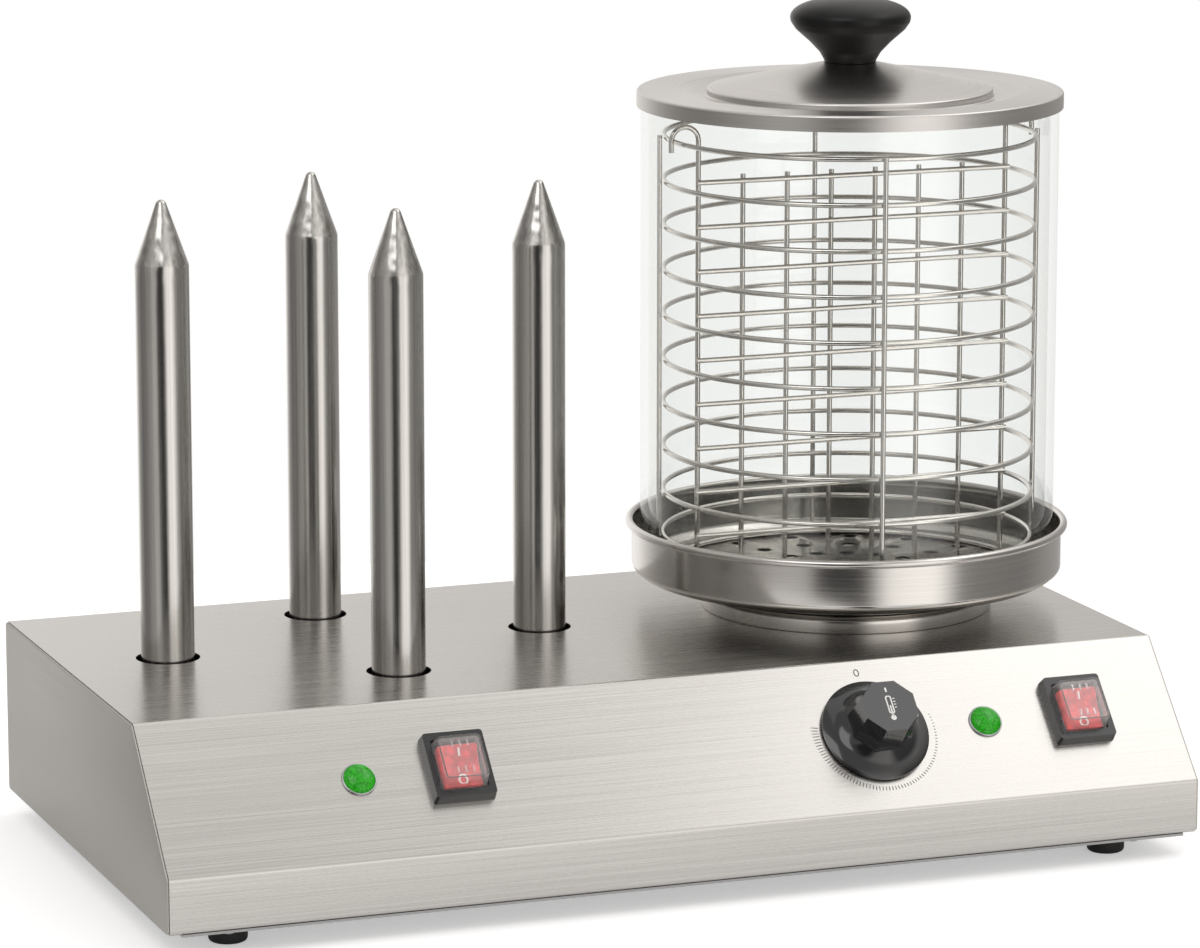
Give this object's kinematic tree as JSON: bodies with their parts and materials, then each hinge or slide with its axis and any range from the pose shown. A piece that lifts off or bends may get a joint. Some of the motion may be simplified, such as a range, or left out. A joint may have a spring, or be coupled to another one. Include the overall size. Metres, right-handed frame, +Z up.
{
  "type": "hot dog toaster",
  "caption": "Counter-top hot dog toaster: a sloping-front steel housing with heated upright rods and a steam boiler under a lidded glass cylinder that holds a wire basket.",
  "frame": {"origin": "on the table, under the middle of the overall width and depth", "axes": "+X to the right along the front, +Y to the back, +Z up"},
  "size_m": [0.5, 0.285, 0.3898],
  "materials": {
    "steel_sheet": "brushed",
    "zinc_steel": "zinc plated",
    "rod_metal": "polished",
    "element_steel": "heat-darkened",
    "cast_plate": "as cast",
    "wire": "bright",
    "foot_rubber": "matte",
    "clear_glass": "clear",
    "black_plastic": "glossy black",
    "dark_housing": "satin black",
    "red_plastic": "translucent red",
    "clear_cover": "clear soft cap",
    "brass": "plain",
    "green_lens": "translucent green",
    "pale_plastic": "plain"
  },
  "bodies": {
    "base": {"housing_shell": "steel_sheet", "back_panel": "steel_sheet", "side_panel_left": "steel_sheet", "side_panel_right": "steel_sheet", "base_plate": "steel_sheet", "rubber_feet": "foot_rubber", "rod_carrier": "zinc_steel", "heating_rod_left": "rod_metal", "heating_rod_back": "rod_metal", "heating_rod_front": "rod_metal", "heating_rod_right": "rod_metal", "rod_cartridges": "element_steel", "rod_nuts": "zinc_steel", "boiler_collar": "steel_sheet", "boiler_cradle": "zinc_steel", "heating_plate": "cast_plate", "heating_element": "element_steel", "safety_cutout": "dark_housing", "switch_body_left": "dark_housing", "switch_cover_left": "clear_cover", "switch_blades_left": "brass", "switch_body_right": "dark_housing", "switch_cover_right": "clear_cover", "switch_blades_right": "brass", "lamp_lenses": "green_lens", "lamp_nuts": "dark_housing", "thermostat_body": "dark_housing", "cable_gland": "dark_housing", "gland_nut": "zinc_steel", "terminal_block": "pale_plastic", "earth_stud": "brass", "earth_nut": "brass"},
    "knob": {"thermostat_knob": "black_plastic", "thermostat_spindle": "brass"},
    "switch_left": {"rocker_left": "red_plastic"},
    "switch_right": {"rocker_right": "red_plastic"},
    "pan": {"evaporation_pan": "steel_sheet"},
    "glass": {"glass_cylinder": "clear_glass"},
    "basket": {"basket_hoops": "wire", "basket_uprights": "wire", "basket_floor": "wire"},
    "divider": {"basket_divider": "wire"},
    "cover": {"lid": "steel_sheet", "lid_knob": "black_plastic", "lid_washer": "zinc_steel", "lid_screw": "zinc_steel"}
  },
  "joints": [
    {"name": "knob_turn", "type": "hinge", "parent": "base", "child": "knob", "pos_m": [0.0967, -0.11473, 0.06689], "axis": [0, 0.7325, -0.6807], "range_deg": [0, 280]},
    {"name": "rocker_left_tilt", "type": "hinge", "parent": "base", "child": "switch_left", "pos_m": [-0.1066, -0.11368, 0.06728], "axis": [-1, 0, 0], "range_deg": [0, 26]},
    {"name": "rocker_right_tilt", "type": "hinge", "parent": "base", "child": "switch_right", "pos_m": [0.1996, -0.11368, 0.06728], "axis": [-1, 0, 0], "range_deg": [0, 26]},
    {"name": "pan_lift", "type": "slide", "parent": "base", "child": "pan", "axis": [0, 0, 1], "range_m": [0, 0.07]},
    {"name": "glass_lift", "type": "slide", "parent": "pan", "child": "glass", "axis": [0, 0, 1], "range_m": [0, 0.05]},
    {"name": "basket_lift", "type": "slide", "parent": "glass", "child": "basket", "axis": [0, 0, 1], "range_m": [0, 0.245]},
    {"name": "divider_lift", "type": "slide", "parent": "basket", "child": "divider", "axis": [0, 0, 1], "range_m": [0, 0.225]},
    {"name": "lid_lift", "type": "slide", "parent": "divider", "child": "cover", "axis": [0, 0, 1], "range_m": [0, 0.04]}
  ]
}
